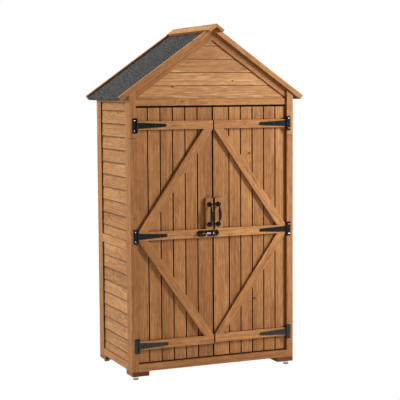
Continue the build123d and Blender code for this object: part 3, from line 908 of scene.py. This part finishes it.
# %% the bolt's collar
collar_start, collar_end = -0.049, -0.038
collar_bore, collar_radius, collar_easing = 0.00405, 0.00465, 0.0003
slide = next(joint for joint in behaviour["joints"] if joint["name"] == "bolt_slide")
axis_y, axis_z = slide["pos_m"][1:]
profile = [
    (collar_start, collar_bore),
    (collar_start, collar_radius - collar_easing),
    (collar_start + collar_easing, collar_radius),
    (collar_end - collar_easing, collar_radius),
    (collar_end, collar_radius - collar_easing),
    (collar_end, collar_bore),
]
corners = 40
tube = bmesh.new()
tube.faces.layers.int.new("eased")
rows = []
for corner in range(corners):
    turn = 2 * math.pi * corner / corners
    out, rise = math.cos(turn), math.sin(turn)
    rows.append([tube.verts.new((x, axis_y + r * out, axis_z + r * rise)) for x, r in profile])
for first, second in zip(rows, rows[1:] + rows[:1]):
    for i in range(len(profile)):
        j = (i + 1) % len(profile)
        tube.faces.new((first[i], first[j], second[j], second[i]))
bmesh.ops.recalc_face_normals(tube, faces=tube.faces)
collar = collect("bolt_collar", [tube], iron)
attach(collar, rides_on["bolt_rod"])
print("collar from", 1000 * collar_start, "to", 1000 * collar_end, "mm")

# %% [markdown]
# ## Pull handles: the grip
# A cast pull handle is a bowed grip between two oval roses. It can't be a plain bent bar: the grip
# is fullest in the middle, narrows towards its ends and then flares where it meets the rose. Rings
# of points are set along the bow, with their width and thickness taken from that rule, and a skin
# is stretched over them.


# %% a skin over rings
def loft(rings):
    """A closed skin over rings of points."""
    solid = bmesh.new()
    solid.faces.layers.int.new("eased")
    rows = [[solid.verts.new(point) for point in ring] for ring in rings]
    for first, second in zip(rows, rows[1:]):
        for i in range(len(first)):
            j = (i + 1) % len(first)
            solid.faces.new((first[i], first[j], second[j], second[i]))
    solid.faces.new(rows[0][::-1])
    solid.faces.new(rows[-1])
    bmesh.ops.recalc_face_normals(solid, faces=solid.faces)
    return solid


def rise_between(value, low, high):
    """0 up to low, 1 from high on, and a smooth rise between them."""
    share = min(1.0, max(0.0, (value - low) / (high - low)))
    return share * share * (3 - 2 * share)


def squarish(turn, power=0.8):
    """A point of a round that is slightly squared, as cast grips are."""
    u, v = math.cos(turn), math.sin(turn)
    return math.copysign(abs(u) ** power, u), math.copysign(abs(v) ** power, v)


# %% the grip
bow_bend = 2.4
bow_start = 0.002
grip_half = 0.0045
stations = 33


def grip_rings(x, seat, middle, foot, bow):
    """Rings along the bow. Share runs from -1 at the lower rose to 1 at the upper one."""
    sag = bow - bow_start
    found = []
    for step in range(stations):
        share = 2 * step / (stations - 1) - 1
        out = bow_start + sag * (1 - abs(share) ** bow_bend)
        slope = -sag * bow_bend * abs(share) ** (bow_bend - 1) * math.copysign(1, share) / foot
        centre = Vector((x, seat - out, middle + foot * share))
        outward = Vector((0, -1, -slope)).normalized()
        flare = max(0.0, (abs(share) - 0.86) / 0.14) ** 2
        belly = 1 - rise_between(abs(share), 0.30, 0.72)
        wide = 0.0026 + 0.0042 * belly + 0.0045 * flare
        thick = 0.0025 + 0.0019 * belly + 0.0020 * flare
        ring = []
        for corner in range(20):
            across, lift = squarish(2 * math.pi * corner / 20)
            point = centre + Vector((1, 0, 0)) * wide * across + outward * thick * lift
            point.y = min(point.y, seat - 0.0002)
            ring.append(point)
        found.append(ring)
    return found


print("rings along a grip:", stations)

# %% [markdown]
# ## Pull handles: the roses
# Each rose is a low oval with a rolled edge. Its profile is a short list: how wide each ring is,
# as a share of the rose, and how far it stands out from the wood. The whole handle takes its place
# and its reach from the box of the CAD's plain one.

# %% the roses and the handles
rose_high = 0.0112
rose_profile = (
    (1.0, 0.0), (1.0, 0.0014), (0.97, 0.0022), (0.9, 0.0028), (0.72, 0.0034), (0.45, 0.0040),
)


def rose_rings(x, seat, level, rose_wide, corners=28):
    found = []
    for size, out in rose_profile:
        ring = []
        for corner in range(corners):
            turn = 2 * math.pi * corner / corners
            across = rose_wide * size * math.cos(turn)
            rise = rose_high * size * math.sin(turn)
            ring.append(Vector((x + across, seat - out, level + rise)))
        found.append(ring)
    return found


def make_handle(node):
    low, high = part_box(node)
    x = (low.x + high.x) / 2
    seat = high.y
    middle = (low.z + high.z) / 2
    foot = (high.z - low.z) / 2 - rose_high
    bow = seat - low.y - grip_half
    solids = [loft(grip_rings(x, seat, middle, foot, bow))]
    for end in (-1, 1):
        solids.append(loft(rose_rings(x, seat, middle + end * foot, (high.x - low.x) / 2)))
    made = collect(node + "_cast", solids, iron)
    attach(made, rides_on[node])
    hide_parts(node)
    print(made.name, "stands out by", round(1000 * (seat - low.y), 1), "mm")


for node in ("left_handle", "right_handle"):
    make_handle(node)

# %% [markdown]
# ## A screw's head
# A strap hinge is held by round-headed screws with a cross slot. Each head is a low dome, and the
# points that lie in the cross are pushed down into it. Every head is turned by its own random
# angle, as screws are left when they are driven home by hand.

# %% screw heads
screw_chance = random.Random("screws")
head_steps = (1.0, 0.97, 0.86, 0.7, 0.56, 0.5, 0.4, 0.27, 0.14)


def screw_head(place, radius, height, corners=32):
    """A domed head with a cross slot, facing -Y, whose rim lies at place."""
    solid = bmesh.new()
    solid.faces.layers.int.new("eased")
    spin = screw_chance.uniform(0, math.pi / 2)
    rows = []
    for ring, size in enumerate(head_steps):
        row = []
        for corner in range(corners):
            turn = 2 * math.pi * corner / corners
            u = size * math.cos(turn)
            v = size * math.sin(turn)
            dome = height * math.sqrt(max(0.0, 1 - size * size)) if ring else 0.0
            in_slot = min(abs(u), abs(v)) < 0.13 and size < 0.54
            out = dome - (0.45 * height if in_slot else 0.0)
            across = u * math.cos(spin) - v * math.sin(spin)
            rise = u * math.sin(spin) + v * math.cos(spin)
            row.append(solid.verts.new(place + Vector((across * radius, -out, rise * radius))))
        rows.append(row)
    for first, second in zip(rows, rows[1:]):
        for i in range(corners):
            j = (i + 1) % corners
            solid.faces.new((first[i], second[i], second[j], first[j]))
    solid.faces.new(rows[-1])
    bmesh.ops.recalc_face_normals(solid, faces=solid.faces)
    return solid


# %% drive a set of screws
def fix(name, body, places, material, radius=0.0031, height=0.0012):
    heads = [screw_head(Vector(place), radius, height) for place in places]
    made = collect(name, heads, material)
    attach(made, body)
    print(name, "with", len(places), "screws")


print("a head has", len(head_steps), "rings")

# %% [markdown]
# ## Where the screws go
# Each plate on a post has two screws, one above and one below its middle. They are bright on the
# upper and middle hinges and painted on the lowest ones. Each strap has two screws at its root, one
# above the other, and two more in line towards its tip, and they are painted with it.

# %% screws in the plates
strap_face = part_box("front_posts")[0].y - 0.0025
screw_rise = 0.022
screw_inset = 0.0075
low_hinge_level = 0.4


def corners_of(points):
    low = Vector([min(point[i] for point in points) for i in range(3)])
    high = Vector([max(point[i] for point in points) for i in range(3)])
    return low, high


plate_screws = []
low_plate_screws = []
for points, faces in separate("hinge_plates"):
    low, high = corners_of(points)
    level = (low.z + high.z) / 2
    outer = high.x - screw_inset if high.x > 0 else low.x + screw_inset
    for rise in (-screw_rise, screw_rise):
        screws = plate_screws if level > low_hinge_level else low_plate_screws
        screws.append((outer, strap_face, level + rise))
fix("post_screws", "root", plate_screws, steel)
fix("low_post_screws", "root", low_plate_screws, iron)

# %% screws in the straps
strap_places = ((0.008, 0.0), (0.055, 0.0), (0.118, 0.007), (0.118, -0.007))
for side, sign in (("left", -1), ("right", 1)):
    strap_screws = []
    for points, faces in separate(side + "_hinge_straps"):
        low, high = corners_of(points)
        level = (low.z + high.z) / 2
        tip = min(abs(low.x), abs(high.x))
        for reach, rise in strap_places:
            strap_screws.append((sign * (tip + reach), strap_face, level + rise))
    name = side + "_strap_screws"
    fix(name, side + "_door", strap_screws, iron, radius=0.0028)

# %% [markdown]
# ## Feet
# Round adjustable glides under the blocks keep the wood off wet ground. Their pale bodies shine a
# little like plating, and a fine pebbled texture dulls them. Their lowest few millimetres are dark.
# One material does both: the height above the ground says how dark a point is.

# %% glides
dark_bottom_height = 0.005
glide, tree, shader = new_material("moulded_glide")
place = object_place(tree)
pebble = noise(tree, place, scale=1400, detail=2)
worn = noise(tree, place, scale=70, detail=4)
# Darker towards the bottom: the lowest few millimetres.
dark_bottom = remap(tree, part_of(tree, place, 2), dark_bottom_height + 0.0025, dark_bottom_height)
pale = blend(tree, worn, (0.66, 0.65, 0.63), (0.80, 0.79, 0.77))
pale = blend(tree, dark_bottom, pale, (0.10, 0.10, 0.10))
tree.links.new(pale, shader.inputs["Base Color"])
tree.links.new(calc(tree, "MULTIPLY_ADD", worn, 0.25, 0.2), shader.inputs["Roughness"])
shader.inputs["Metallic"].default_value = 0.8
add_bump(tree, shader, pebble, strength=0.4, distance=0.0001)
glides = dress("foot_glides", glide, width=0.0015, segments=3)
print("glides:", len(glides.data.polygons), "faces")

# %% [markdown]
# ## Colours as they are
# The view transform is Standard: the colours are shown without a film curve.

# %% finish
bpy.context.scene.view_settings.view_transform = "Standard"
